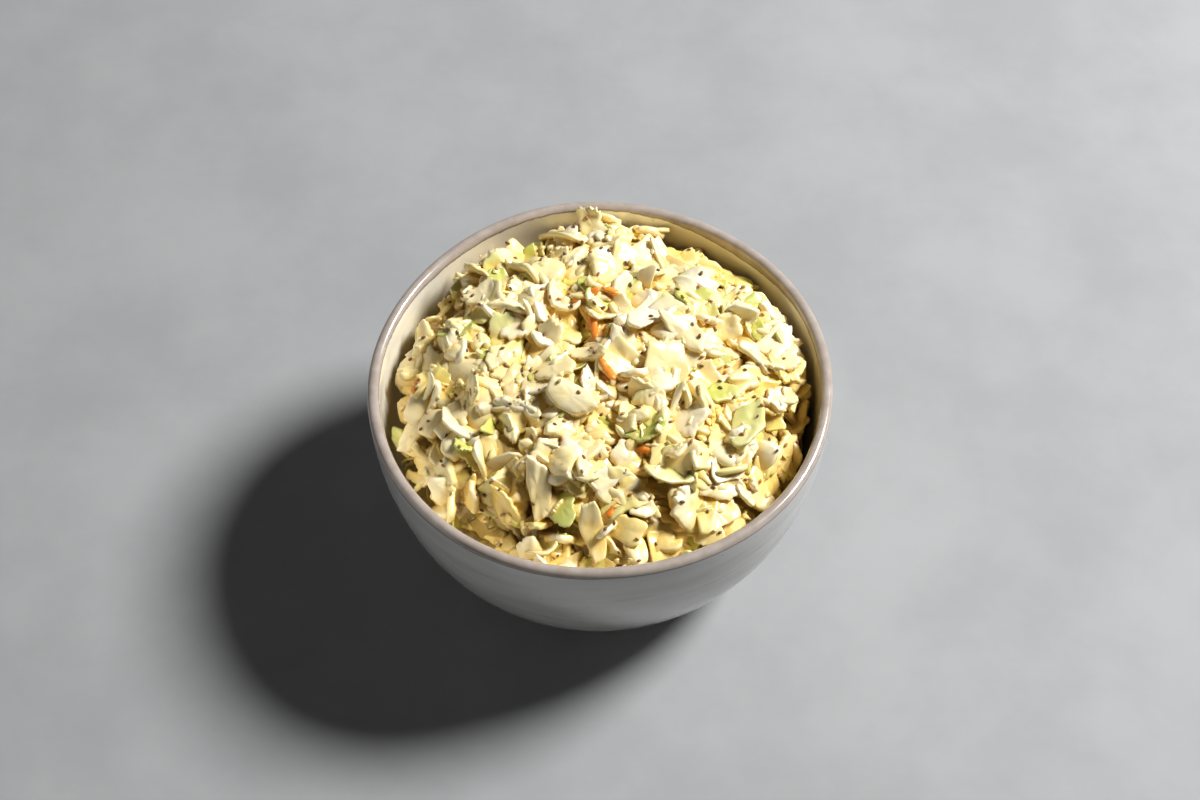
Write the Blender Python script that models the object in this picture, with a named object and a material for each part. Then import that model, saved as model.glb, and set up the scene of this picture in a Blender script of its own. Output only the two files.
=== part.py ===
"""Coleslaw heaped in a small hand-thrown stoneware bowl.

Two solids: the bowl, turned on a foot ring and slightly out of round, and the heap of chopped
cabbage, which fills the bowl and rises in a lumpy mound above the rim.

Metres, +Z up. The origin is on the table under the middle of the foot ring. +Y is the back.
"""

import math

import bmesh
import bpy
from mathutils import Vector, noise

# --- the bowl -----------------------------------------------------------------------------
RIM_RADIUS = 0.065
BOWL_HEIGHT = 0.066
LIP_THICKNESS = 0.0034
FOOT_RADIUS = 0.030
FOOT_HEIGHT = 0.002
FOOT_RING_WIDTH = 0.005
FOOT_RECESS = 0.0015
FOOT_CHAMFER = 0.0005
FLOOR_THICKNESS = 0.006  # from the table to the inside of the bowl, in the middle
OUTER_FULLNESS = 2.1  # power of the superellipse that the outside follows
INNER_FULLNESS = 2.6

# Each wave is (how many times it goes round, how high it is, where its first crest is).
RADIUS_WAVES = ((1, 0.0005, 270), (2, 0.00045, 28), (3, 0.00035, 105), (5, 0.0002, 30))
HEIGHT_WAVES = ((2, 0.0004, 70), (3, 0.0003, 10))

BOWL_SEGMENTS = 72
OUTER_STEPS = 10
LIP_STEPS = 6
INNER_STEPS = 13

# --- the heap -----------------------------------------------------------------------------
WALL_GAP = 0.0006
CROWN_HEIGHT = 0.0762  # the smooth mound's top, above the table
CROWN_X, CROWN_Y = 0.006, 0.004  # the mound leans to the right and to the back
# Round the bowl from +X, every eighth of a turn: how far below the rim the heap meets the wall,
# and the power of the superellipse from the crown down to the wall.
WALL_DROPS = (0.010, 0.008, 0.007, 0.009, 0.025, 0.024, 0.013, 0.013)
MOUND_FULLNESSES = (3.4, 3.4, 3.2, 3.6, 2.9, 2.9, 2.5, 3.0)
# Rises and hollows of the mound: (x, y, how high, how wide).
SWELLS = (
    (-0.001, 0.050, 0.0030, 0.006),
    (0.024, 0.012, 0.0015, 0.012),
    (-0.014, -0.037, -0.0060, 0.007),
    (-0.033, -0.041, -0.0095, 0.011),
    (-0.002, -0.053, -0.0040, 0.008),
    (-0.036, 0.009, 0.0025, 0.011),
)

LUMP_SIZE, LUMP_HEIGHT = 0.0115, 0.0046
CRAG_SIZE, CRAG_HEIGHT = 0.0056, 0.0024

HEAP_RINGS = 17  # over the mound, the one at the wall included; each has 8 more points
HEAP_WALL_STEPS = 7

GLAZE = (0.80, 0.77, 0.70)
CABBAGE = (0.88, 0.83, 0.60)


def clear_scene():
    for old in list(bpy.data.objects):
        bpy.data.objects.remove(old)


def finish(name, colour, roughness):
    """A plain painted finish, as a Principled BSDF."""
    material = bpy.data.materials.new(name)
    material.use_nodes = True
    shader = material.node_tree.nodes["Principled BSDF"]
    shader.inputs["Base Color"].default_value = (*colour, 1.0)
    shader.inputs["Roughness"].default_value = roughness
    shader.inputs["Metallic"].default_value = 0.0
    return material


def waves(table, angle):
    """The sum of a table's waves at this angle."""
    return sum(
        height * math.cos(times * (angle - math.radians(crest))) for times, height, crest in table
    )


def thrown(radius, height, angle):
    """A point of the turned bowl, put slightly out of round as a thrown pot is.

    The foot stays round and flat; the wobble grows towards the rim.
    """
    share = max(0.0, (height - FOOT_HEIGHT) / (BOWL_HEIGHT - FOOT_HEIGHT))
    radius += waves(RADIUS_WAVES, angle) * share * radius / RIM_RADIUS
    height += waves(HEIGHT_WAVES, angle) * share**3
    return Vector((radius * math.cos(angle), radius * math.sin(angle), height))


def quarter(steps, fullness):
    """(across, down) along a quarter of a superellipse, from its side, (1, 0), to its foot, (0, 1)."""
    for step in range(steps + 1):
        turn = 0.5 * math.pi * step / steps
        yield max(0.0, math.cos(turn)) ** (2 / fullness), math.sin(turn) ** (2 / fullness)


def inner_wall(steps):
    """(radius, height) down the bowl's inside, from under the lip to the middle of the floor."""
    top = BOWL_HEIGHT - LIP_THICKNESS / 2
    for across, down in quarter(steps, INNER_FULLNESS):
        yield (RIM_RADIUS - LIP_THICKNESS) * across, top - (top - FLOOR_THICKNESS) * down


def outer_wall(steps):
    """(radius, height) down the bowl's outside, from under the lip to the top of the foot."""
    top = BOWL_HEIGHT - LIP_THICKNESS / 2
    for across, down in quarter(steps, OUTER_FULLNESS):
        yield FOOT_RADIUS + (RIM_RADIUS - FOOT_RADIUS) * across, top - (top - FOOT_HEIGHT) * down


def foot():
    """(radius, height) of the foot ring, from the middle of its recess out to its outer corner."""
    ring_inside = FOOT_RADIUS - FOOT_RING_WIDTH
    return [
        (0.0, FOOT_RECESS),
        (ring_inside - FOOT_CHAMFER, FOOT_RECESS),
        (ring_inside, FOOT_RECESS - FOOT_CHAMFER),
        (ring_inside, FOOT_CHAMFER),
        (ring_inside + FOOT_CHAMFER, 0.0),
        (FOOT_RADIUS - FOOT_CHAMFER, 0.0),
        (FOOT_RADIUS, FOOT_CHAMFER),
    ]


def lip():
    """(radius, height) over the rounded lip, from its outside to its inside, ends left out."""
    middle = RIM_RADIUS - LIP_THICKNESS / 2
    for step in range(1, LIP_STEPS):
        turn = math.pi * step / LIP_STEPS
        yield (
            middle + LIP_THICKNESS / 2 * math.cos(turn),
            BOWL_HEIGHT - LIP_THICKNESS / 2 * (1 - math.sin(turn)),
        )


def bowl_profile(angle):
    profile = foot() + list(outer_wall(OUTER_STEPS))[::-1] + list(lip())
    profile += list(inner_wall(INNER_STEPS))
    return [thrown(radius, height, angle) for radius, height in profile]


def round_about(numbers, angle):
    """Eight numbers spaced evenly round the bowl, blended smoothly at this angle."""
    place = (angle % (2 * math.pi)) / (math.pi / 4)
    before = int(place)
    share = place - before
    share = share * share * (3 - 2 * share)
    first, second = numbers[before % 8], numbers[(before + 1) % 8]
    return first + (second - first) * share


def heap_wall(angle):
    """Points from where the heap meets the wall down to near the middle of the bowl's floor."""
    top = BOWL_HEIGHT - LIP_THICKNESS / 2
    deep = top - FLOOR_THICKNESS
    start = (top - BOWL_HEIGHT + round_about(WALL_DROPS, angle)) / deep
    first = math.asin(start ** (INNER_FULLNESS / 2))
    for step in range(HEAP_WALL_STEPS):
        turn = first + (0.5 * math.pi - first) * step / HEAP_WALL_STEPS
        across = math.cos(turn) ** (2 / INNER_FULLNESS)
        down = math.sin(turn) ** (2 / INNER_FULLNESS)
        radius = (RIM_RADIUS - LIP_THICKNESS) * across - WALL_GAP
        yield thrown(radius, top - deep * down + WALL_GAP, angle)


def mound(across, angle):
    """A point of the heap's top: across is 0 at the crown and 1 where the heap meets the wall."""
    edge = next(heap_wall(angle))
    crown = Vector((CROWN_X, CROWN_Y, CROWN_HEIGHT))
    fullness = round_about(MOUND_FULLNESSES, angle)
    rise = (1 - across**fullness) ** (1 / fullness)
    point = crown.lerp(edge, across)
    point.z = edge.z + (CROWN_HEIGHT - edge.z) * rise
    for x, y, high, wide in SWELLS:
        away = ((point.x - x) ** 2 + (point.y - y) ** 2) / wide**2
        point.z += high * math.exp(-away) * (1 - across**8)
    lump = noise.noise(Vector((point.x / LUMP_SIZE, point.y / LUMP_SIZE, 3.7)))
    crag = noise.noise(Vector((point.x / CRAG_SIZE, point.y / CRAG_SIZE, 8.1)))
    point.z += (LUMP_HEIGHT * lump + CRAG_HEIGHT * crag) * (1 - across**8)
    return point


def bridge(mesh, one, other):
    """Quads between two loops of the same length."""
    for n in range(len(one)):
        beside = (n + 1) % len(one)
        mesh.faces.new((one[n], one[beside], other[beside], other[n]))


def fan(mesh, loop, point):
    """Triangles from a loop to a point."""
    tip = mesh.verts.new(point)
    for n in range(len(loop)):
        mesh.faces.new((loop[n], loop[(n + 1) % len(loop)], tip))


def widen(mesh, inner, outer):
    """Fill between a ring of 8k points and the next, of 8k + 8, a corner at every quarter turn."""
    side, longer = len(inner) // 4, len(outer) // 4
    for quarter_turn in range(4):
        start, out = quarter_turn * side, quarter_turn * longer
        for n in range(side):
            after = inner[(start + n + 1) % len(inner)]
            mesh.faces.new((inner[start + n], outer[out + n + 1], outer[out + n + 2], after))
        corner = outer[out - 1]
        mesh.faces.new((inner[start], corner, outer[out], outer[out + 1]))


def make_bowl(mesh):
    """The bowl: one profile, carried round."""
    angles = [2 * math.pi * n / BOWL_SEGMENTS for n in range(BOWL_SEGMENTS)]
    profiles = [bowl_profile(angle) for angle in angles]
    loops = [[mesh.verts.new(point) for point in row] for row in zip(*profiles)][1:-1]
    for lower, upper in zip(loops, loops[1:]):
        bridge(mesh, lower, upper)
    fan(mesh, loops[0], profiles[0][0])
    fan(mesh, loops[-1], profiles[0][-1])


def make_heap(mesh):
    """The heap: rings spreading from its crown to the wall, then loops down the wall."""
    rings = [[mesh.verts.new(mound(0.0, 0.0))]]
    for ring in range(1, HEAP_RINGS + 1):
        angles = [2 * math.pi * (n + ring) / (8 * ring) for n in range(8 * ring)]
        rings.append([mesh.verts.new(mound(ring / HEAP_RINGS, angle)) for angle in angles])
    for ring, around in zip(rings[1:], rings[2:]):
        widen(mesh, ring, around)
    first = rings[1]
    for corner in range(0, 8, 2):
        mesh.faces.new((rings[0][0], first[corner - 1], first[corner], first[corner + 1]))
    around = rings[-1]
    walls = [list(heap_wall(2 * math.pi * (n + HEAP_RINGS) / len(around))) for n in range(len(around))]
    for row in list(zip(*walls))[1:]:
        lower = [mesh.verts.new(point) for point in row]
        bridge(mesh, around, lower)
        around = lower
    fan(mesh, around, Vector((0.0, 0.0, FLOOR_THICKNESS + WALL_GAP)))


def make_body(name, fill, material):
    mesh = bmesh.new()
    fill(mesh)
    for vertex in [vertex for vertex in mesh.verts if not vertex.link_faces]:
        mesh.verts.remove(vertex)
    bmesh.ops.recalc_face_normals(mesh, faces=mesh.faces)
    data = bpy.data.meshes.new(name)
    mesh.to_mesh(data)
    mesh.free()
    data.materials.append(material)
    data.shade_smooth()
    data.set_sharp_from_angle(angle=math.radians(50))
    body = bpy.data.objects.new(name, data)
    bpy.context.scene.collection.objects.link(body)
    return body


def main():
    clear_scene()
    make_body("bowl", make_bowl, finish("cream_glaze", GLAZE, 0.25))
    make_body("coleslaw_heap", make_heap, finish("dressed_cabbage", CABBAGE, 0.4))


main()
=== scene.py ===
"""The looks of a small stoneware bowl heaped with coleslaw.

The bowl is turned again at a finer step and glazed. The heap becomes a core under loose pieces:
chopped cabbage in white, cream and green, pieces of rib, shreds, carrot, crumbs and celery seeds.
Each piece is laid on those already there, from the bottom up.
"""

import math

import bpy
import numpy as np
from mathutils import Euler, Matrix, Quaternion, Vector, noise
from mathutils.bvhtree import BVHTree


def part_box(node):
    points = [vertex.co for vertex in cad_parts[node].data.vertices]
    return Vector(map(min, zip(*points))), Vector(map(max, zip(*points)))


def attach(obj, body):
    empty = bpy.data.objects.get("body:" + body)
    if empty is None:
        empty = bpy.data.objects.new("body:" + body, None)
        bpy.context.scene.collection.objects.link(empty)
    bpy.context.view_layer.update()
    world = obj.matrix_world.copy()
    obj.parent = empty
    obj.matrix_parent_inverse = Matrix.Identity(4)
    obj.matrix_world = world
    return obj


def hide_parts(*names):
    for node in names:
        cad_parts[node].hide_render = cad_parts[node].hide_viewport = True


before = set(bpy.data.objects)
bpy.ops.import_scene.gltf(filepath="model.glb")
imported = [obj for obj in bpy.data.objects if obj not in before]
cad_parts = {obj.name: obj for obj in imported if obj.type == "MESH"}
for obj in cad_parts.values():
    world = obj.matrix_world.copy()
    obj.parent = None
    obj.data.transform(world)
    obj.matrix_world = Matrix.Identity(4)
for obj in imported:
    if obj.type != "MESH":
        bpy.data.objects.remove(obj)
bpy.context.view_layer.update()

MM = 0.001
rng = np.random.default_rng(20)

# --- the bowl, as turned ------------------------------------------------------------------
bowl_low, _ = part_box("bowl")

RIM_RADIUS = 65.0
BOWL_HEIGHT = 66.0
LIP_THICKNESS = 3.4
FOOT_RADIUS = 30.0
FOOT_HEIGHT = 2.0
FOOT_RING_WIDTH = 5.0
FOOT_RECESS = 1.5
FOOT_CHAMFER = 0.5
FLOOR_THICKNESS = 6.0
OUTER_FULLNESS = 2.1
INNER_FULLNESS = 2.6
LIP_BASE = BOWL_HEIGHT - LIP_THICKNESS / 2

# Each wave is (how many times it goes round, how high it is, where its first crest is).
RADIUS_WAVES = ((1, 0.5, 270), (2, 0.45, 28), (3, 0.35, 105), (5, 0.2, 30))
HEIGHT_WAVES = ((2, 0.4, 70), (3, 0.3, 10))

# --- the mound ----------------------------------------------------------------------------
CROWN_X, CROWN_Y, CROWN_HEIGHT = 6.0, 4.0, 76.2
# Round the bowl from +X, every eighth of a turn: how far below the rim the heap meets the wall,
# and how full the mound is on that side.
WALL_DROPS = (10.0, 8.0, 7.0, 9.0, 25.0, 24.0, 13.0, 13.0)
FULLNESSES = (3.4, 3.4, 3.2, 3.6, 3.3, 2.9, 2.5, 3.0)

# Rises and hollows of the mound: (x, y, how high, how wide).
SWELLS = (
    (-1, 52, 3.0, 6),
    (24, 12, 1.5, 12),
    (-14, -37, -6.0, 7),
    (-33, -41, -10.0, 11),
    (-2, -53, -4.0, 8),
    (-38, 9, 1.5, 13),
    (10, -8, 1.0, 9),
    (-42, 22, 1.0, 8),
)

# What roughens the mound: broad lumps and smaller crags, how wide and how high they are.
LUMP_SIZE, LUMP_HEIGHT = 11.5, 5.2
CRAG_SIZE, CRAG_HEIGHT = 5.6, 1.6


# --- shading ------------------------------------------------------------------------------
class Field:
    """A value spread over a surface, so that sums of them can be written as sums."""

    def __init__(self, paint, socket):
        self.paint = paint
        self.socket = socket

    def sum(self, operation, one, other):
        return self.paint.node("ShaderNodeMath", {"operation": operation}, {0: one, 1: other})

    def __add__(self, other):
        return self.sum("ADD", self, other)

    def __radd__(self, other):
        return self.sum("ADD", other, self)

    def __sub__(self, other):
        return self.sum("SUBTRACT", self, other)

    def __rsub__(self, other):
        return self.sum("SUBTRACT", other, self)

    def __mul__(self, other):
        return self.sum("MULTIPLY", self, other)

    def __rmul__(self, other):
        return self.sum("MULTIPLY", other, self)

    def __truediv__(self, other):
        return self.sum("DIVIDE", self, other)

    def __pow__(self, other):
        return self.sum("POWER", self, other)

    def least(self, other):
        return self.sum("MINIMUM", self, other)

    def ramp(self, low, high, start=0.0, end=1.0):
        """Eases from start, where this is low, to end, where this is high."""
        settings = {"interpolation_type": "SMOOTHSTEP"}
        limits = {"Value": self, "From Min": low, "From Max": high, "To Min": start, "To Max": end}
        return self.paint.node("ShaderNodeMapRange", settings, limits)


class Paint:
    """A material being mixed, ending in one Principled surface."""

    def __init__(self, name):
        self.material = bpy.data.materials.new(name)
        self.material.use_nodes = True
        self.tree = self.material.node_tree
        self.surface = self.tree.nodes["Principled BSDF"]
        self.place = self.node("ShaderNodeTexCoord", {}, {}, "Object")

    def node(self, kind, settings, sockets, out=0):
        """A node of this kind, its settings made first, then its sockets set or linked."""
        node = self.tree.nodes.new(kind)
        for name, value in settings.items():
            setattr(node, name, value)
        for name, value in sockets.items():
            self.fill(node.inputs[name], value)
        return Field(self, node.outputs[out])

    def fill(self, socket, value):
        if isinstance(value, Field):
            self.tree.links.new(value.socket, socket)
        elif isinstance(value, tuple) and socket.type == "RGBA":
            socket.default_value = (*value, 1.0)
        else:
            socket.default_value = value

    def stretched(self, x, y, z):
        """The place on the surface, stretched along each axis."""
        sockets = {0: self.place, 1: (x, y, z)}
        return self.node("ShaderNodeVectorMath", {"operation": "MULTIPLY"}, sockets)

    def part(self, axis):
        return self.node("ShaderNodeSeparateXYZ", {}, {0: self.place}, axis)

    def cloud(self, size_mm, detail=2.0, roughness=0.5, place=None):
        """Soft noise, 0 to 1, whose features are about this size."""
        sockets = {
            "Vector": place or self.place,
            "Scale": 1000.0 / size_mm,
            "Detail": detail,
            "Roughness": roughness,
        }
        return self.node("ShaderNodeTexNoise", {}, sockets, 0)

    def cells(self, size_mm, place=None):
        """Distance to the nearest of many scattered points, in cell sizes."""
        sockets = {"Vector": place or self.place, "Scale": 1000.0 / size_mm}
        return self.node("ShaderNodeTexVoronoi", {}, sockets, "Distance")

    def kept(self, name):
        """A value that the mesh carries at its corners."""
        return self.node("ShaderNodeAttribute", {"attribute_name": name}, {}, "Fac")

    def blend(self, share, one, other, how="MIX"):
        """Colour one where share is 0 and colour other where it is 1."""
        settings = {"data_type": "RGBA", "blend_type": how}
        return self.node("ShaderNodeMix", settings, {0: share, 6: one, 7: other}, 2)

    def bump(self, height, depth_mm, strength=1.0):
        sockets = {"Height": height, "Distance": depth_mm * MM, "Strength": strength}
        return self.node("ShaderNodeBump", {}, sockets)

    def set(self, **values):
        """Set or link the surface's own sockets; an underscore stands for a space."""
        for name, value in values.items():
            self.fill(self.surface.inputs[name.replace("_", " ")], value)
        return self.material


# --- meshes -------------------------------------------------------------------------------
def object_from(name, points, faces, values, material):
    """An object from points in millimetres, with named values carried at its points."""
    mesh = bpy.data.meshes.new(name)
    mesh.from_pydata([tuple(point) for point in points * MM], [], faces)
    for key, numbers in values.items():
        layer = mesh.attributes.new(key, "FLOAT", "POINT")
        layer.data.foreach_set("value", np.asarray(numbers, dtype=np.float32))
    mesh.materials.append(material)
    mesh.shade_smooth()
    piece = bpy.data.objects.new(name, mesh)
    bpy.context.scene.collection.objects.link(piece)
    return piece


def declare(piece, node):
    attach(piece, "root")
    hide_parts(node)


# --- the bowl -----------------------------------------------------------------------------
def waves(table, angle):
    return sum(high * np.cos(times * (angle - math.radians(at))) for times, high, at in table)


def thrown(radius, height, angle):
    """A point of the turned bowl, put slightly out of round."""
    share = max(0.0, (height - FOOT_HEIGHT) / (BOWL_HEIGHT - FOOT_HEIGHT))
    radius = radius * (1 + waves(RADIUS_WAVES, angle) * share / RIM_RADIUS)
    height = height + waves(HEIGHT_WAVES, angle) * share**3
    return radius * math.cos(angle), radius * math.sin(angle), height


def quarter(steps, fullness):
    for step in range(steps + 1):
        turn = 0.5 * math.pi * step / steps
        yield max(0.0, math.cos(turn)) ** (2 / fullness), math.sin(turn) ** (2 / fullness)


def bowl_profile():
    """(radius, height) from the middle of the foot's recess, over the lip, to the inside's middle."""
    ring_inside = FOOT_RADIUS - FOOT_RING_WIDTH
    foot = [
        (0.0, FOOT_RECESS),
        (ring_inside - FOOT_CHAMFER, FOOT_RECESS),
        (ring_inside, FOOT_RECESS - FOOT_CHAMFER),
        (ring_inside, FOOT_CHAMFER),
        (ring_inside + FOOT_CHAMFER, 0.0),
        (FOOT_RADIUS - FOOT_CHAMFER, 0.0),
        (FOOT_RADIUS, FOOT_CHAMFER),
    ]
    outside = [
        (FOOT_RADIUS + (RIM_RADIUS - FOOT_RADIUS) * a, LIP_BASE - (LIP_BASE - FOOT_HEIGHT) * d)
        for a, d in quarter(44, OUTER_FULLNESS)
    ]
    inside = [
        ((RIM_RADIUS - LIP_THICKNESS) * a, LIP_BASE - (LIP_BASE - FLOOR_THICKNESS) * d)
        for a, d in quarter(40, INNER_FULLNESS)
    ]
    half = LIP_THICKNESS / 2
    turns = [math.pi * step / 12 for step in range(1, 12)]
    lip = [(RIM_RADIUS - half + half * math.cos(t), LIP_BASE + half * math.sin(t)) for t in turns]
    return foot + outside[::-1] + lip + inside, len(foot) + len(outside) + len(lip) // 2


def inner_radius(height):
    """The radius of the bowl's inside at this height, before it goes out of round."""
    down = np.clip((LIP_BASE - height) / (LIP_BASE - FLOOR_THICKNESS), 0.0, 1.0)
    across = (1 - down**INNER_FULLNESS) ** (1 / INNER_FULLNESS)
    return (RIM_RADIUS - LIP_THICKNESS) * across


def glaze():
    """Cream glaze inside, paler outside, and an iron-brown band breaking over the lip."""
    paint = Paint("glazed_stoneware")
    along = paint.kept("along")
    band_inside = paint.kept("band_inside")
    height = paint.part("Z") * 1000.0

    wander = paint.cloud(7.0, 4.0, 0.6)
    fine = paint.cloud(1.6, 3.0, 0.6)
    edge_inside = band_inside + (wander - 0.5) * 1.6 + (fine - 0.5) * 0.5
    edge_outside = 2.9 + (wander - 0.5) * 0.7 + (fine - 0.5) * 0.3
    from_inside = edge_inside - along
    from_outside = along + edge_outside
    within = from_inside.least(from_outside)
    band = within.ramp(-0.15, 0.35)
    border = within.ramp(-0.25, 0.15) * within.ramp(0.25, 0.85, 1.0, 0.0)

    rings = paint.cloud(1.0, 3.0, 0.6, paint.stretched(0.05, 0.05, 0.55))
    broad = paint.cloud(16.0, 3.0, 0.5, paint.stretched(0.35, 0.35, 1.8))
    inside = along.ramp(0.0, 2.0)

    cream = paint.blend(broad.ramp(0.3, 0.7), (0.86, 0.82, 0.68), (0.92, 0.89, 0.78))
    pale = paint.blend(broad.ramp(0.3, 0.7), (0.50, 0.50, 0.48), (0.62, 0.62, 0.60))
    # Painted shade: the outside glaze is made darker towards the foot, where the wall curves under.
    painted_low_shade = height.ramp(24.0, 60.0, 0.45, 0.0)
    pale = paint.blend(painted_low_shade, pale, (0.25, 0.245, 0.235))
    streaks = rings.ramp(0.54, 0.72) * 0.5
    pale = paint.blend(streaks, pale, (0.40, 0.35, 0.29))
    body = paint.blend(inside, pale, cream)
    freckles = paint.cells(3.4).ramp(0.04, 0.11, 1.0, 0.0) * paint.cloud(9.0).ramp(0.5, 0.62)
    body = paint.blend(freckles * 0.6, body, (0.20, 0.15, 0.11))

    mottle = paint.cloud(4.5, 3.0, 0.6).ramp(0.3, 0.7)
    iron = paint.blend(mottle, (0.36, 0.30, 0.255), (0.44, 0.375, 0.325))
    iron = paint.blend(border * 0.75, iron, (0.15, 0.10, 0.07))
    colour = paint.blend(band, body, iron)

    throwing = paint.cloud(1.0, 1.0, 0.4, paint.stretched(0.02, 0.02, 0.24))
    relief = throwing * 0.8 + paint.cloud(9.0, 1.0) * 0.5 + band * 0.25
    return paint.set(
        Base_Color=colour,
        Roughness=paint.cloud(5.0, 2.0).ramp(0.3, 0.7, 0.16, 0.26),
        Normal=paint.bump(relief, 0.25, 0.4),
        Coat_Weight=0.4,
        Coat_Roughness=0.08,
        Subsurface_Weight=0.0,
    )


def make_bowl():
    around = 192
    profile, top = bowl_profile()
    lengths = np.cumsum([0.0] + [math.dist(a, b) for a, b in zip(profile, profile[1:])])
    along = lengths - lengths[top]
    points, values, band = [], [], []
    for step in range(around):
        angle = 2 * math.pi * step / around
        at = math.degrees(angle)
        drips = sum(
            deep * math.exp(-(((at - mid + 180) % 360 - 180) / wide) ** 2)
            for mid, wide, deep in ((46, 22, 2.9), (135, 24, 1.3), (262, 40, 0.6), (8, 14, 0.9))
        )
        for (radius, height), length in zip(profile[1:-1], along[1:-1]):
            points.append(thrown(radius, height, angle))
            values.append(length)
            band.append(2.3 + drips)
    rows = len(profile) - 2
    count = around * rows
    faces = []
    for step in range(around):
        here, there = step * rows, ((step + 1) % around) * rows
        for row in range(rows - 1):
            faces.append((here + row, there + row, there + row + 1, here + row + 1))
        faces.append((count, there, here))
        faces.append((count + 1, here + rows - 1, there + rows - 1))
    points += [(0, 0, profile[0][1]), (0, 0, profile[-1][1])]
    values += [along[0], along[-1]]
    band += [3.0, 3.0]
    bowl = object_from(
        "glazed_bowl", np.array(points), faces, {"along": values, "band_inside": band}, glaze()
    )
    declare(bowl, "bowl")
    return bowl


# --- the mound's shape --------------------------------------------------------------------
def round_about(numbers, angle):
    """Eight numbers spaced evenly round the bowl, blended smoothly at this angle."""
    place = (angle % (2 * np.pi)) / (np.pi / 4)
    before = np.floor(place).astype(int) % 8
    share = place - np.floor(place)
    share = share * share * (3 - 2 * share)
    numbers = np.array(numbers)
    return numbers[before] + (numbers[(before + 1) % 8] - numbers[before]) * share


def rough(x, y):
    """The lumps and crags of the mound, in millimetres, at one place."""
    lump = noise.noise(Vector((x / LUMP_SIZE, y / LUMP_SIZE, 3.7)))
    crag = noise.noise(Vector((x / CRAG_SIZE, y / CRAG_SIZE, 8.1)))
    return LUMP_HEIGHT * lump + CRAG_HEIGHT * crag


ROUGH = np.array([[rough(x, y) for y in range(-70, 71)] for x in range(-70, 71)])


def lumps(x, y):
    """The same, read from a grid of a millimetre for many places at once."""
    x, y = np.clip(x + 70.0, 0.0, 139.9), np.clip(y + 70.0, 0.0, 139.9)
    i, j = np.floor(x).astype(int), np.floor(y).astype(int)
    u, v = x - i, y - j
    near = ROUGH[i, j] * (1 - u) + ROUGH[i + 1, j] * u
    far = ROUGH[i, j + 1] * (1 - u) + ROUGH[i + 1, j + 1] * u
    return near * (1 - v) + far * v


def mound(x, y, sunk=0.0, swollen=1.0):
    """The height of the mound's top, in millimetres, or of one sunk inside it, or without swells."""
    edge_radius = inner_radius(BOWL_HEIGHT - 12.0) - 1.0 - sunk
    dx, dy = x - CROWN_X, y - CROWN_Y
    far = np.hypot(dx, dy) + 1e-6
    ux, uy = dx / far, dy / far
    along = CROWN_X * ux + CROWN_Y * uy
    reach = -along + np.sqrt(along**2 - CROWN_X**2 - CROWN_Y**2 + edge_radius**2)
    across = np.clip(far / reach, 0.0, 1.0)
    side = np.arctan2(CROWN_Y + uy * reach, CROWN_X + ux * reach)
    edge = BOWL_HEIGHT - round_about(WALL_DROPS, side) - sunk
    fullness = round_about(FULLNESSES, side)
    rise = (1 - across**fullness) ** (1 / fullness)
    height = edge + (CROWN_HEIGHT - sunk - edge) * rise
    for at_x, at_y, high, wide in SWELLS:
        away = ((x - at_x) ** 2 + (y - at_y) ** 2) / wide**2
        height = height + swollen * high * np.exp(-away)
    return height + swollen * lumps(x, y) * (1 - across**8)


def mound_normal(x, y):
    step = 2.5
    slope_x = (mound(x + step, y) - mound(x - step, y)) / (2 * step)
    slope_y = (mound(x, y + step) - mound(x, y - step)) / (2 * step)
    normal = np.array([-float(slope_x), -float(slope_y), 1.0])
    return normal / np.linalg.norm(normal)


# --- chopped pieces -----------------------------------------------------------------------
def outline(points, cuts, nearest, ragged):
    """Radii round a chopped piece: straight knife cuts, with some ragged stretches."""
    angles = 2 * np.pi * np.arange(points) / points
    radii = np.ones(points)
    for facing in rng.uniform(0, 2 * np.pi) + np.arange(cuts) * 2 * np.pi / cuts:
        across = np.cos(angles - facing - rng.uniform(-0.45, 0.45))
        limit = rng.uniform(nearest, 1.0) / np.maximum(across, 0.05)
        radii = np.minimum(radii, limit)
    smooth = radii
    where = 0.5 + 0.5 * np.cos(angles * rng.integers(1, 3) - rng.uniform(0, 6.28))
    bites = np.tile(rng.uniform(-1.0, 0.6, 14), 2)[:15]
    coarse = np.interp(angles, np.linspace(0, 2 * np.pi, 15), bites)
    teeth = (rng.uniform(-0.8, 0.3, points) + coarse) * ragged * (0.3 + where)
    return angles, smooth, np.clip(smooth * (1 + teeth), 0.2, 1.15)


def ripple(x, y, size, count=3):
    total = 0.0
    for _ in range(count):
        turn, phase = rng.uniform(0, 6.28), rng.uniform(0, 6.28)
        pitch = 2 * np.pi / (size * rng.uniform(0.7, 1.6))
        total = total + np.sin((x * np.cos(turn) + y * np.sin(turn)) * pitch + phase)
    return total / count


RINGS_FINE = (0.26, 0.50, 0.72, 0.90, 1.0)
RINGS_PLAIN = (0.5, 0.88, 1.0)
RINGS_COARSE = (0.75, 1.0)
LAYOUTS = {}


def plate_faces(points, above, below):
    """Faces of a closed plate: a top centre and its rings, then the same underneath."""
    if (points, above, below) in LAYOUTS:
        return LAYOUTS[points, above, below]
    top = [[1 + ring * points + n for n in range(points)] for ring in range(above)]
    start = 1 + above * points
    under = [[start + 1 + ring * points + n for n in range(points)] for ring in range(below)]
    faces = []
    for n in range(points):
        m = (n + 1) % points
        faces.append((0, top[0][n], top[0][m]))
        faces.append((start, under[0][m], under[0][n]))
        faces.append((top[-1][n], under[-1][n], under[-1][m], top[-1][m]))
        for a, b in zip(top, top[1:]):
            faces.append((a[n], b[n], b[m], a[m]))
        for a, b in zip(under, under[1:]):
            faces.append((a[m], b[m], b[n], a[n]))
    LAYOUTS[points, above, below] = faces
    return faces


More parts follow.
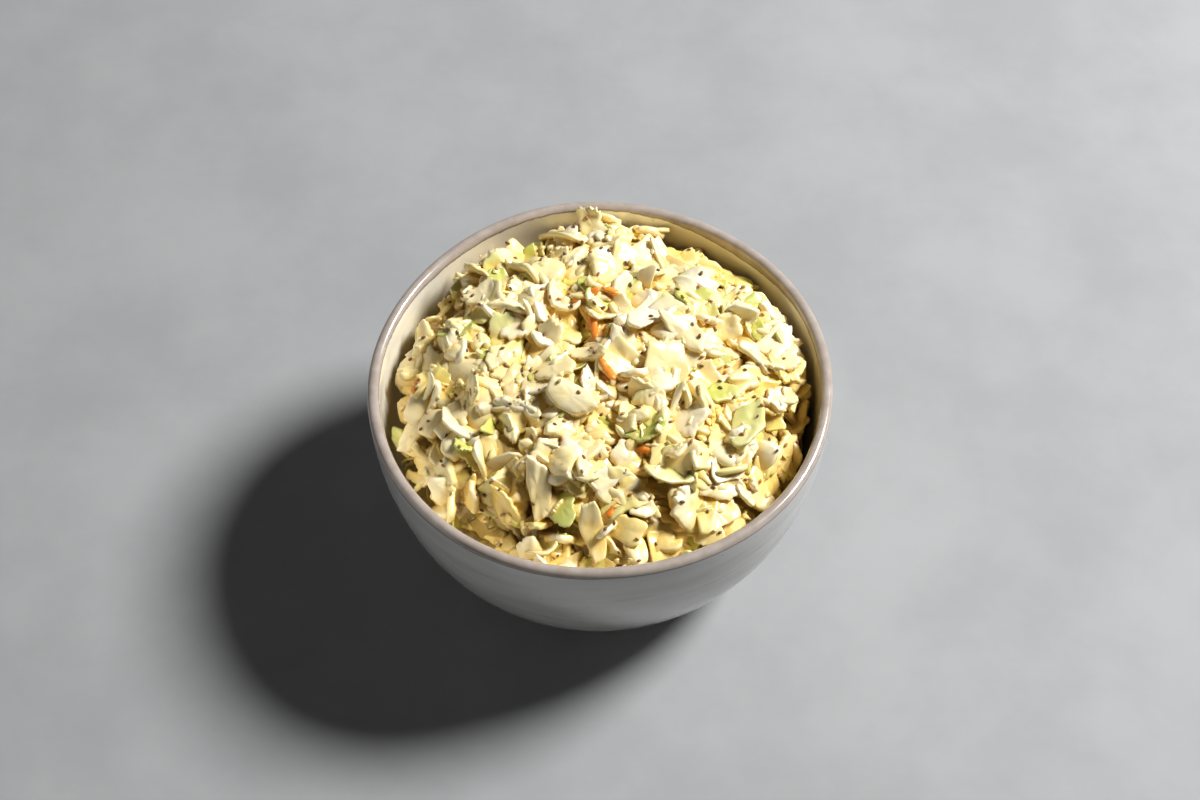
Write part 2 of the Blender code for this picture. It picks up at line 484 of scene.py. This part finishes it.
def bent(x, y, z, roll, twist):
    """Rolls a piece up along its length, then twists it about that length."""
    if abs(roll) > 1e-4:
        turn = roll * x
        x, z = np.sin(turn) * (1 / roll - z), (1 - np.cos(turn)) / roll + z * np.cos(turn)
    if twist:
        turn = twist * x
        y, z = y * np.cos(turn) - z * np.sin(turn), y * np.sin(turn) + z * np.cos(turn)
    return x, y, z


def flake(length, width, thick, points=34, cuts=5, nearest=0.55, ragged=0.16, cup=0.02, crease=0.0,
          crinkle=0.3, roll=0.0, twist=0.0, plump=7.0, rings=RINGS_FINE, vein=0.0, leaf=(0.0, 0.0)):
    """A thin chopped piece lying flat: points, faces and the values its points carry."""
    angles, smooth, torn = outline(points, cuts, nearest, ragged)
    top, under, rim_top, rim_under = [(0.0, 0.0, 1.0)], [(0.0, 0.0, -1.0)], [0.0], [0.0]
    below = (rings[len(rings) // 2], 1.0)
    for side, rim, sign, line in ((top, rim_top, 1.0, rings), (under, rim_under, -1.0, below)):
        for ring in line:
            radii = ring * (smooth + (torn - smooth) * ring**3)
            height = sign * (0.12 + 0.88 * (1 - ring**plump * 0.72) ** 0.5)
            side.extend(zip(radii * np.cos(angles), radii * np.sin(angles), [height] * points))
            rim.extend([ring] * points)
    flat = np.array(top + under)
    x, y = flat[:, 0] * length / 2, flat[:, 1] * width / 2
    half = flat[:, 2] * thick / 2 * (1 + 0.25 * ripple(x, y, length))
    turn = rng.uniform(0, np.pi)
    u, v = x * np.cos(turn) + y * np.sin(turn), -x * np.sin(turn) + y * np.cos(turn)
    middle = cup * (u**2 + rng.uniform(-0.6, 1.0) * v**2) / 2
    middle = middle + crease * np.abs(u - rng.uniform(-0.2, 0.2) * length)
    middle = middle + crinkle * ripple(x, y, 4.2)
    half = half + np.sign(half) * np.abs(flat[:, 2]) * 0.13 * ripple(x, y, 2.0, 4)
    middle = middle + vein * np.exp(-((y / 0.9) ** 2)) * (1 - x / length)
    z = middle + half
    x, y, z = bent(x, y, z, roll, twist)
    rim = np.array(rim_top + rim_under)
    green = leaf[0] + leaf[1] * (u / (length / 2)) + 0.12 * rng.normal(size=1)
    values = {
        "rim": rim**3,
        "tone": np.full(len(x), rng.uniform()),
        "leaf": np.clip(green, 0.0, 1.0),
    }
    return np.stack([x, y, z], 1), plate_faces(points, len(rings), len(below)), values


def shred(length, width, thick, roll=0.0, twist=0.0, sway=0.0, stations=12, around=8, blunt=4.0,
          leaf=(0.0, 0.0)):
    """A long thin piece lying flat, along X."""
    place = np.linspace(-1, 1, stations)
    turn = 2 * np.pi * np.arange(around) / around
    taper = (1 - np.abs(place) ** blunt * 0.999) ** 0.5
    wide = taper * (1 + 0.12 * rng.normal(size=stations))
    deep = taper * (1 + 0.08 * rng.normal(size=stations))
    section_y = np.sign(np.cos(turn)) * np.abs(np.cos(turn)) ** 0.7
    section_z = np.sign(np.sin(turn)) * np.abs(np.sin(turn)) ** 0.7
    x = np.repeat(place * length / 2, around)
    y = (wide[:, None] * section_y[None, :]).ravel() * width / 2
    z = (deep[:, None] * section_z[None, :]).ravel() * thick / 2
    y = y + sway * np.sin(x / length * 5 + rng.uniform(0, 6))
    x, y, z = bent(x, y, z, roll, twist)
    points = np.stack([x, y, z], 1)
    ends = np.stack([points[:around].mean(0), points[-around:].mean(0)])
    points = np.concatenate([points, ends])
    if ("shred", stations, around) not in LAYOUTS:
        faces = []
        for n in range(around):
            m = (n + 1) % around
            for row in range(stations - 1):
                a, b = row * around, (row + 1) * around
                faces.append((a + n, b + n, b + m, a + m))
            faces.append((stations * around, n, m))
            last = (stations - 1) * around
            faces.append((stations * around + 1, last + m, last + n))
        LAYOUTS["shred", stations, around] = faces
    count = len(points)
    values = {
        "rim": np.concatenate([np.repeat(np.abs(place) ** 6, around), [1.0, 1.0]]),
        "tone": np.full(count, rng.uniform()),
        "leaf": np.clip(leaf[0] + leaf[1] * points[:, 0] / length * 2, 0, 1),
    }
    return points, LAYOUTS["shred", stations, around], values


# --- laying the pieces --------------------------------------------------------------------
class Heap:
    """The height of what has been laid so far, on a square grid."""

    PITCH = 0.5
    HALF = 70.0

    def __init__(self, sunk):
        self.count = int(2 * self.HALF / self.PITCH) + 1
        line = np.linspace(-self.HALF, self.HALF, self.count)
        x, y = np.meshgrid(line, line, indexing="ij")
        self.target = mound(x, y)
        self.level = mound(x, y, swollen=0.0)
        self.top = mound(x, y, sunk) - 7.0 * (np.hypot(x, y) / 60.0) ** 8
        self.kinds = {}

    def cell(self, x, y):
        i = np.clip(((x + self.HALF) / self.PITCH + 0.5).astype(int), 0, self.count - 1)
        j = np.clip(((y + self.HALF) / self.PITCH + 0.5).astype(int), 0, self.count - 1)
        return i, j

    def lowest_spot(self, tries, widest):
        """Of some random spots, the one that lies furthest under the mound's outline."""
        radius = widest * np.sqrt(rng.uniform(0, 1, tries))
        angle = rng.uniform(0, 2 * np.pi, tries)
        x, y = radius * np.cos(angle), radius * np.sin(angle)
        i, j = self.cell(x, y)
        room = np.minimum(self.target[i, j] - self.top[i, j], 6.0)
        best = np.argmax(room + rng.uniform(0, 1.5, tries))
        return x[best], y[best]

    def inside(self, points):
        """The shift that brings these points inside the bowl's wall, or None if none does."""
        moved = points
        for _ in range(6):
            radius = np.hypot(moved[:, 0], moved[:, 1])
            over = radius - (inner_radius(np.minimum(moved[:, 2], LIP_BASE)) - 1.0)
            over = np.where(moved[:, 2] > BOWL_HEIGHT + 1.5, over - 1.5, over)
            worst = np.argmax(over)
            if over[worst] <= 0:
                return moved
            toward = -moved[worst, :2] / max(radius[worst], 1e-6)
            moved = moved + np.array([*(toward * (over[worst] + 0.05)), 0.0])
        return None

    def lay(self, kind, piece, x, y, turn, settle=78, high=3.0, lift=0.0):
        """Turn a piece, let it down at a spot until it rests, and keep it in its kind."""
        points, faces, values = piece
        points = points @ turn.T
        points = points - points.mean(0) + np.array([x, y, 0.0])
        moved = self.rest(points, settle)
        moved = self.inside(moved)
        if moved is None:
            return False
        moved = self.rest(moved, settle)
        i, j = self.cell(moved[:, 0], moved[:, 1])
        radius = np.hypot(moved[:, 0], moved[:, 1])
        if np.any(radius > inner_radius(np.minimum(moved[:, 2], LIP_BASE)) - 0.4):
            return False
        if np.max(moved[:, 2] - self.target[i, j]) > high:
            return False
        moved = moved + np.array([0, 0, lift])
        np.maximum.at(self.top, (i, j), moved[:, 2])
        self.kinds.setdefault(kind, []).append((moved, faces, values))
        return True

    def hollows(self, points, reach=9):
        """How far each point lies under the tops around it, 0 to 1, and 1 more down in a pit; the
        finishes paint shade from it.
        """
        level = self.top
        line = np.exp(-((np.arange(-reach, reach + 1) / (0.55 * reach)) ** 2))
        for axis in (0, 1):
            level = np.apply_along_axis(np.convolve, axis, level, line / line.sum(), "same")
        i, j = self.cell(points[:, 0], points[:, 1])
        nook = np.clip((level[i, j] + 1.5 - points[:, 2]) / 4.0, 0, 1)
        return nook + np.clip((self.level[i, j] - points[:, 2] - 4.0) / 9.0, 0, 1)

    def rest(self, points, settle):
        i, j = self.cell(points[:, 0], points[:, 1])
        gap = self.top[i, j] - points[:, 2]
        return points + np.array([0, 0, np.percentile(gap, settle)])

    def build(self, kind, material):
        """One object from all the pieces of a kind."""
        parts = self.kinds[kind]
        starts = np.cumsum([0] + [len(part[0]) for part in parts])
        points = np.concatenate([part[0] for part in parts])
        faces = [
            tuple(corner + int(start) for corner in face)
            for part, start in zip(parts, starts)
            for face in part[1]
        ]
        values = {
            key: np.concatenate([part[2][key] for part in parts])
            for key in ("rim", "tone", "leaf")
        }
        # deep: how far each point lies in a hollow or pit of the heap, which the finish turns into
        # painted shade.
        values["deep"] = self.hollows(points)
        piece = object_from(kind, points, faces, values, material)
        declare(piece, "coleslaw_heap")
        return piece


def facing(normal, tilt):
    """A rotation that lays a flat piece on this normal, tilted by so many degrees, spun anyhow."""
    up = Vector(normal)
    axis = up.orthogonal()
    axis.rotate(Quaternion(up, rng.uniform(0, 2 * np.pi)))
    up.rotate(Quaternion(axis, math.radians(tilt)))
    first = up.orthogonal().normalized()
    first.rotate(Quaternion(up, rng.uniform(0, 2 * np.pi)))
    return np.array([first, up.cross(first), up]).T


def heading(normal, turn, pitch=0.0, bank=0.0):
    """A rotation that points a piece's length at turn, raised by pitch and rolled by bank degrees."""
    flat = Euler([math.radians(angle) for angle in (bank, -pitch, turn)]).to_matrix()
    return np.array(Vector((0, 0, 1)).rotation_difference(Vector(normal)).to_matrix() @ flat)


def random_flake(kind, fine=True):
    """A piece of this kind, of a size and shape of its own."""
    long = rng.uniform(9.5, 19)
    common = dict(
        points=52 if fine else 22,
        rings=RINGS_FINE if fine else RINGS_PLAIN,
        cup=rng.normal(0, 0.045),
        crease=rng.uniform(0.15, 0.55) if rng.uniform() < 0.4 else 0.0,
        crinkle=rng.uniform(0.10, 0.40),
        roll=rng.normal(0, 0.05),
        twist=rng.normal(0, 0.025),
        ragged=rng.uniform(0.04, 0.22),
        vein=rng.uniform(0.3, 0.9) if rng.uniform() < 0.3 else 0.0,
    )
    if kind == "white_cabbage":
        leaf = (rng.uniform(-0.05, 0.12), rng.normal(0, 0.15))
        return flake(long, rng.uniform(0.6, 0.95) * long, rng.uniform(1.2, 3.0), leaf=leaf, **common)
    if kind == "cream_cabbage":
        leaf = (rng.uniform(0.05, 0.4), rng.normal(0, 0.3))
        return flake(long, rng.uniform(0.5, 0.9) * long, rng.uniform(1.0, 2.4), leaf=leaf, **common)
    if kind == "green_cabbage":
        leaf = (rng.uniform(0.3, 0.9), rng.normal(0, 0.45))
        long = rng.uniform(8, 15)
        return flake(long, rng.uniform(0.45, 0.85) * long, rng.uniform(0.7, 1.4), leaf=leaf, **common)
    if kind == "rib_pieces":
        long = rng.uniform(7, 14)
        return flake(
            long, rng.uniform(0.5, 0.8) * long, rng.uniform(2.6, 5.0), cuts=4, nearest=0.6,
            ragged=rng.uniform(0.02, 0.10), cup=rng.normal(0, 0.03), crinkle=0.2,
            roll=rng.normal(0, 0.05), plump=4.5, points=34 if fine else 16,
            rings=RINGS_FINE if fine else RINGS_PLAIN,
        )
    if kind == "cabbage_shreds":
        long = rng.uniform(9, 19)
        return shred(
            long, rng.uniform(1.6, 3.2), rng.uniform(0.9, 1.7), roll=rng.normal(0, 0.07),
            twist=rng.normal(0, 0.09), sway=rng.uniform(0, 0.9),
            leaf=(rng.uniform(0, 0.4), rng.normal(0, 0.3)),
        )
    return flake(
        rng.uniform(2.2, 5.5), rng.uniform(1.6, 3.6), rng.uniform(0.6, 1.5), points=12, cuts=4,
        nearest=0.45, ragged=0.3, crinkle=0.15, cup=0.0, rings=RINGS_COARSE,
        leaf=(rng.uniform(0, 0.35), 0.0),
    )


MIX = (
    ("white_cabbage", 0.38),
    ("cream_cabbage", 0.31),
    ("green_cabbage", 0.10),
    ("rib_pieces", 0.08),
    ("cabbage_shreds", 0.06),
    ("cabbage_crumbs", 0.07),
)


def fill_heap(heap, count, tilt, high, fine, settle):
    """Lay pieces of every kind, always where the heap is lowest under its outline."""
    names, shares = zip(*MIX)
    shares = np.array(shares) / sum(shares)
    laid = 0
    for _ in range(count):
        kind = names[rng.choice(len(names), p=shares)]
        x, y = heap.lowest_spot(5, 59.0)
        lean = min(abs(rng.normal(0, tilt)), 75)
        turn = facing(mound_normal(x, y), lean)
        laid += heap.lay(kind, random_flake(kind, fine), x, y, turn, settle, high)
    return laid


def sprinkle(heap, count):
    """Small bits left over from the chopping, lying on top."""
    laid = 0
    for _ in range(count):
        x, y = heap.lowest_spot(1, 58.0)
        turn = facing(mound_normal(x, y), abs(rng.normal(0, 25)))
        laid += heap.lay("cabbage_crumbs", random_flake("cabbage_crumbs"), x, y, turn, 60, 3.5)
    return laid


def rib(length, width, thick, roll=0.03):
    """A smooth thick piece cut from a rib."""
    return flake(length, width, thick, points=40, cuts=3, nearest=0.74, ragged=0.03, cup=0.0,
                 crease=0.08, crinkle=0.15, roll=roll, plump=3.2)


def leaf_piece(length, width, thick=1.2, green=0.0, **shape):
    """A larger, smoother flake."""
    shape = {"crinkle": 0.25, "ragged": 0.08, "points": 56, **shape}
    return flake(length, width, thick, leaf=(green, 0.25), **shape)


def carrot_shred(length, roll=0.05):
    return shred(length, 2.3, 1.3, roll=roll, twist=rng.normal(0, 0.05), blunt=8.0)


def lay_by_hand(heap):
    """The pieces that stand out: kind, piece, x, y, heading, pitch, bank and how far it sinks in."""
    white, cream, green, ribs, orange = (
        "white_cabbage", "cream_cabbage", "green_cabbage", "rib_pieces", "carrot_shreds",
    )
    pieces = (
        (ribs, rib(11, 9, 5.0), -15, 34, 10, 8, 0, 70),
        (green, leaf_piece(15, 6.5, 1.2, 0.42), -31, 39, 80, 48, 20, 60),
        (green, leaf_piece(11, 5, 1.2, 0.75), -22, 46, 30, 25, 10, 60),
        (orange, carrot_shred(9.0), -4, 24, 22, 5, 0, 80),
        (orange, carrot_shred(8.0), 2, 26, -35, 12, 0, 75),
        (orange, carrot_shred(9.5, 0.09), -2, 14, 96, 8, 0, 85),
        (orange, carrot_shred(8.0), 2, -3, -58, 0, 0, 85),
        (orange, carrot_shred(6.0), 18, -19, 35, 0, 0, 50),
        (orange, carrot_shred(5.0), 12, -26, -15, 0, 0, 50),
        (orange, carrot_shred(5.0), 13, 40, -60, 0, 0, 50),
        (orange, carrot_shred(5.5), 3, -43, 70, 0, 0, 50),
        (orange, carrot_shred(5.0), -52, 2, 60, 0, 0, 50),
        (cream, leaf_piece(17, 7.5, 2.0, roll=0.09, ragged=0.02, crinkle=0.08), -3, 4, -22, 5, 0, 86),
        (ribs, rib(17, 8.5, 4.4), -8, -13, -34, 2, 0, 92),
        (white, leaf_piece(21, 10, 1.8, crease=0.5), 13, 17, 65, 6, 20, 88),
        (white, leaf_piece(22, 8, 1.9, roll=0.05, ragged=0.04), 24, 9, -36, -4, 0, 88),
        (white, leaf_piece(20, 12, 3.2, crease=0.3, ragged=0.24, crinkle=0.5), -2, 52, 96, 55, 0, 62),
        (white, leaf_piece(12, 9, 2.6, crease=0.3, ragged=0.22, crinkle=0.5), 2, 44, 20, 10, 0, 60),
        (green, leaf_piece(10, 6, 1.0, 0.95), 43, 23, 60, 10, 0, 60),
        (green, leaf_piece(9, 5, 1.0, 0.95), 45, 15, 100, 10, 0, 60),
        (green, leaf_piece(13, 9, 0.9, 0.62, crinkle=0.4), 34, -8, 15, 5, 0, 86),
        (green, leaf_piece(21, 12, 1.3, 0.42, cup=0.03), 41, -18, 75, -6, 0, 90),
        (green, leaf_piece(6, 3.5, 1.0, 1.0), -37, 18, -40, 10, 0, 60),
        (green, leaf_piece(8, 6, 1.0, 0.60), -19, -1, 80, 0, 0, 50),
        (green, leaf_piece(10, 7, 1.4, 0.80), -13, -49, 20, 10, 0, 50),
        (green, leaf_piece(15, 9, 1.3, 0.35), 24, -53, 70, 20, 10, 60),
        (green, leaf_piece(12, 7, 1.2, 0.55), -56, -12, 70, 20, 20, 50),
        (green, leaf_piece(9, 7, 1.2, 0.60), 28, 25, 20, 10, 0, 50),
        (green, leaf_piece(9, 5, 1.0, 0.85), 2, -18, -30, 0, 0, 45),
        (white, leaf_piece(30, 8, 1.5, roll=0.06, ragged=0.05, crinkle=0.35), -17, -36, -80, -8, 10, 90),
        (cream, leaf_piece(21, 7, 1.5, roll=0.04, ragged=0.03), -2, -48, -82, -14, 0, 90),
    )
    for kind, piece, x, y, turn, pitch, bank, settle in pieces:
        set_down = heading(mound_normal(x, y), turn, pitch, bank)
        if not heap.lay(kind, piece, x, y, set_down, settle, 14.0):
            print("left out", kind, x, y)


# --- finishes of the slaw -----------------------------------------------------------------
def dressed(name, pale, warm, green=(0.70, 0.71, 0.27), wet=0.5, glow=0.2):
    """Cabbage dressed in a thin wet film: pale and warmer at the edges, with a painted warm shade in the
    hollows of the heap and a darker painted shade in its pits.
    """
    paint = Paint(name)
    tone, rim, leaf, sunk = (paint.kept(key) for key in ("tone", "rim", "leaf", "deep"))
    blotch = paint.cloud(5.0, 3.0, 0.55)
    grain = paint.cloud(1.1, 3.0, 0.6)
    colour = paint.blend((tone * 0.7 + (blotch - 0.5) * 0.9).ramp(0.1, 0.8), pale, warm)
    leafy = (leaf + (blotch - 0.5) * 0.35).ramp(0.12, 0.85)
    colour = paint.blend(leafy, colour, green)
    colour = paint.blend(rim * 0.22, colour, warm)
    # Painted shade: pieces lying in hollows of the heap (sunk, the deep value) are tinted golden, a warm
    # shade for the light between the pieces.
    painted_hollow_shade = paint.blend(leafy, (0.92, 0.62, 0.14), (0.60, 0.53, 0.08))
    colour = paint.blend(sunk.ramp(0.0, 0.9) * 0.8, colour, painted_hollow_shade)
    # Painted shade: pieces lying well below the mound's level, in pits, are darkened to olive-brown.
    colour = paint.blend(sunk.ramp(0.9, 1.9) * 0.85, colour, (0.34, 0.22, 0.05))
    film = paint.cloud(2.6, 3.0, 0.6)
    relief = grain * 0.35 + film * 0.65
    return paint.set(
        Base_Color=colour,
        Roughness=film.ramp(0.35, 0.7, 0.42 - 0.25 * wet, 0.58 - 0.2 * wet),
        Normal=paint.bump(relief, 0.3, 0.35),
        Subsurface_Weight=glow,
        Subsurface_Radius=(1.0, 0.85, 0.5),
        Subsurface_Scale=3.0 * MM,
        Coat_Weight=0.6,
        Coat_Roughness=0.26,
    )


def carrot():
    paint = Paint("carrot")
    along = paint.cloud(2.0, 3.0, 0.6)
    tone = paint.kept("tone")
    colour = paint.blend((along + tone * 0.3).ramp(0.35, 0.9), (0.78, 0.22, 0.02), (0.90, 0.38, 0.06))
    return paint.set(
        Base_Color=colour,
        Roughness=0.32,
        Normal=paint.bump(along, 0.2, 0.3),
        Subsurface_Weight=0.15,
        Subsurface_Radius=(1.0, 0.5, 0.2),
        Subsurface_Scale=2.0 * MM,
    )


def seed_coat():
    paint = Paint("celery_seed")
    tone = paint.kept("tone")
    ridge = paint.cloud(0.35, 1.0)
    colour = paint.blend(tone.ramp(0.25, 0.75), (0.15, 0.065, 0.022), (0.42, 0.17, 0.05))
    colour = paint.blend(tone.ramp(0.80, 0.95), colour, (0.42, 0.26, 0.09))
    colour = paint.blend(ridge.ramp(0.45, 0.75) * 0.35, colour, (0.36, 0.24, 0.12))
    return paint.set(Base_Color=colour, Roughness=0.5, Normal=paint.bump(ridge, 0.1, 0.5))


# --- the core and the seeds ---------------------------------------------------------------
def make_core(sunk):
    """A rounded heap of finely chopped cabbage that fills the bowl under the loose pieces."""
    rings, around = 60, 180
    points, faces = [(CROWN_X, CROWN_Y, 0.0)], []
    for ring in range(1, rings + 1):
        share = ring / rings
        for n in range(around):
            angle = 2 * math.pi * n / around
            edge = inner_radius(BOWL_HEIGHT - 14.0) - 0.8
            points.append(
                (
                    CROWN_X * (1 - share) + edge * share * math.cos(angle),
                    CROWN_Y * (1 - share) + edge * share * math.sin(angle),
                    0.0,
                )
            )
    points = np.array(points)
    points[:, 2] = mound(points[:, 0], points[:, 1], sunk)
    x, y = points[:, 0], points[:, 1]
    points[:, 2] += 1.1 * ripple(x, y, 6.0, 6) + 0.9 * ripple(x, y, 3.4, 6)
    points[:, 2] -= 7.0 * (np.hypot(x, y) / 60.0) ** 8
    room = (inner_radius(points[:, 2]) - 1.2) / np.maximum(np.hypot(x, y), 1e-6)
    points[:, :2] *= np.minimum(room, 1.0)[:, None]
    for n in range(around):
        m = (n + 1) % around
        faces.append((0, 1 + n, 1 + m))
        for ring in range(rings - 1):
            a, b = 1 + ring * around, 1 + (ring + 1) * around
            faces.append((a + n, b + n, b + m, a + m))
    rim_start = 1 + (rings - 1) * around
    bottom = []
    last = rim_start
    lowest = points[rim_start:, 2].min() - 1.0
    for step in range(8):
        height = lowest - (lowest - FLOOR_THICKNESS - 1) * step / 7
        radius = float(inner_radius(height)) - 1.2
        turns = [2 * math.pi * n / around for n in range(around)]
        ring_points = [(radius * math.cos(turn), radius * math.sin(turn), height) for turn in turns]
        start = len(points) + len(bottom)
        bottom += ring_points
        for n in range(around):
            m = (n + 1) % around
            faces.append((last + n, start + n, start + m, last + m))
        last = start
    end = len(points) + len(bottom)
    bottom.append((0.0, 0.0, FLOOR_THICKNESS + 0.8))
    for n in range(around):
        faces.append((end, last + (n + 1) % around, last + n))
    points = np.concatenate([points, np.array(bottom)])
    count = len(points)
    values = {
        "rim": np.zeros(count),
        "tone": np.full(count, 0.6),
        "leaf": np.zeros(count),
        # Painted shade: the core's hollow value is held at 0.8, so all of it takes the painted hollow
        # shade.
        "deep": np.full(count, 0.8),
    }
    # Painted shade: the core shows only in the crevices, so its colours are darker and warmer than the
    # pieces'.
    material = dressed("chopped_core", (0.82, 0.70, 0.36), (0.76, 0.62, 0.26))
    core = object_from("slaw_core", points, faces, values, material)
    declare(core, "coleslaw_heap")


def seed_shape():
    """A small ridged seed, longer than wide."""
    stations, around = 6, 7
    points = []
    for step in range(stations):
        place = step / (stations - 1)
        girth = math.sin(math.pi * (0.08 + 0.84 * place)) ** 0.8
        for n in range(around):
            turn = 2 * math.pi * n / around
            ridge = 1.0 + 0.14 * (n % 2)
            wide, deep = 0.40 * girth * ridge, 0.36 * girth * ridge
            points.append((1.3 * (place - 0.5), wide * math.cos(turn), deep * math.sin(turn)))
    faces = [tuple(range(around))[::-1], tuple(range((stations - 1) * around, stations * around))]
    for step in range(stations - 1):
        for n in range(around):
            m = (n + 1) % around
            a, b = step * around, (step + 1) * around
            faces.append((a + n, a + m, b + m, b + n))
    return np.array(points), faces


def scatter_seeds(pieces, count, apart):
    """Celery seeds lying on whatever piece is on top."""
    trees = []
    depsgraph = bpy.context.evaluated_depsgraph_get()
    for piece in pieces:
        trees.append(BVHTree.FromObject(piece, depsgraph))
    shape, shape_faces = seed_shape()
    points, faces, tones, placed = [], [], [], []
    lean = Vector((0.0, -0.35, 1.0)).normalized()
    for _ in range(count * 12):
        if len(placed) >= count:
            break
        radius, angle = 60.0 * math.sqrt(rng.uniform()), rng.uniform(0, 2 * math.pi)
        start = Vector((radius * math.cos(angle), radius * math.sin(angle), 60.0)) * MM + lean * 0.08
        hits = [tree.ray_cast(start, -lean, 0.16) for tree in trees]
        hits = [hit for hit in hits if hit[0] is not None]
        if not hits:
            continue
        spot, normal, _, _ = min(hits, key=lambda hit: hit[3])
        if normal.z < 0.15 or math.hypot(spot.x, spot.y) > 0.0595 or spot.z < 0.046:
            continue
        if any((spot - other).length < apart * MM for other in placed):
            continue
        patchy = 0.5 + 0.5 * math.sin(spot.x * 210 + 1) * math.cos(spot.y * 170)
        if rng.uniform() > 0.35 + 0.65 * patchy:
            continue
        placed.append(spot)
        turn = facing(normal, rng.uniform(0, 18))
        size = rng.uniform(0.82, 1.22)
        body = shape * size @ turn.T + np.array(spot) / MM + np.array(normal) * 0.24 * size
        start_at = len(points) * len(shape)
        faces += [tuple(corner + start_at for corner in face) for face in shape_faces]
        points.append(body)
        tones.append(np.full(len(shape), rng.uniform()))
    seeds = object_from(
        "celery_seeds", np.concatenate(points), faces, {"tone": np.concatenate(tones)}, seed_coat()
    )
    declare(seeds, "coleslaw_heap")
    print("seeds", len(placed))


# --- the room -----------------------------------------------------------------------------
def make_floor():
    paint = Paint("plain_floor")
    mottle = paint.cloud(60.0, 5.0, 0.6)
    colour = paint.blend(mottle.ramp(0.3, 0.7), (0.315, 0.318, 0.322), (0.365, 0.368, 0.372))
    material = paint.set(Base_Color=colour, Roughness=0.75)
    half = 4000.0
    level = bowl_low[2] / MM
    corners = ((-half, -half), (half, -half), (half, half), (-half, half))
    points = np.array([(x, y, level) for x, y in corners])
    floor = object_from("floor", points, [(0, 1, 2, 3)], {}, material)


def lamp(name, direction, distance, size, power, colour=(1, 1, 1)):
    light = bpy.data.lights.new(name, "AREA")
    light.shape = "DISK"
    light.size = size
    light.energy = power
    light.color = colour
    holder = bpy.data.objects.new(name, light)
    holder.location = Vector(direction).normalized() * distance + Vector((0, 0, 0.05))
    holder.rotation_euler = Vector(direction).to_track_quat("Z", "Y").to_euler()
    bpy.context.scene.collection.objects.link(holder)


def make_light():
    lamp("key", (0.65, 0.24, 0.72), 1.6, 0.5, 46.0)
    lamp("fill", (-1.0, -0.25, 0.15), 1.4, 0.9, 3.4)
    world = bpy.data.worlds.new("room")
    world.use_nodes = True
    world.node_tree.nodes["Background"].inputs["Color"].default_value = (1, 1, 1, 1)
    world.node_tree.nodes["Background"].inputs["Strength"].default_value = 0.03
    bpy.context.scene.world = world


def make_camera():
    camera = bpy.data.cameras.new("camera")
    camera.lens = 70.0
    camera.sensor_width = 36.0
    holder = bpy.data.objects.new("camera", camera)
    rise = math.radians(55.0)
    away = Vector((0.0, -math.cos(rise), math.sin(rise)))
    holder.location = Vector((0.0, -1.5, 56.95)) * MM + away * 0.66
    holder.rotation_euler = away.to_track_quat("Z", "Y").to_euler()
    bpy.context.scene.collection.objects.link(holder)
    bpy.context.scene.camera = holder


# --- everything together ------------------------------------------------------------------
def make_slaw():
    sunk = 8.0
    make_core(sunk)
    heap = Heap(sunk)
    print("base", fill_heap(heap, 600, 24, 0.0, False, 66))
    print("top", fill_heap(heap, 470, 17, 2.4, True, 66))
    print("crumbs", sprinkle(heap, 120))
    lay_by_hand(heap)
    finishes = {
        "white_cabbage": dressed("white_cabbage", (1.0, 0.89, 0.64), (0.98, 0.78, 0.36)),
        "cream_cabbage": dressed("cream_cabbage", (1.0, 0.84, 0.50), (0.97, 0.74, 0.28)),
        "green_cabbage": dressed(
            "green_cabbage", (0.86, 0.81, 0.38), (0.79, 0.74, 0.27), (0.52, 0.57, 0.12)
        ),
        "rib_pieces": dressed("rib_pieces", (0.99, 0.86, 0.55), (0.97, 0.78, 0.38), wet=0.85),
        "cabbage_shreds": dressed("cabbage_shreds", (1.0, 0.87, 0.57), (0.97, 0.77, 0.35)),
        "cabbage_crumbs": dressed("cabbage_crumbs", (0.99, 0.84, 0.48), (0.95, 0.74, 0.29)),
        "carrot_shreds": carrot(),
    }
    pieces = [heap.build(kind, material) for kind, material in finishes.items() if kind in heap.kinds]
    for piece in pieces:
        print(piece.name, len(piece.data.polygons))
    scatter_seeds(pieces, 170, 1.4)


bpy.context.scene.view_settings.view_transform = "Standard"
make_bowl()
make_slaw()
make_floor()
make_light()
make_camera()
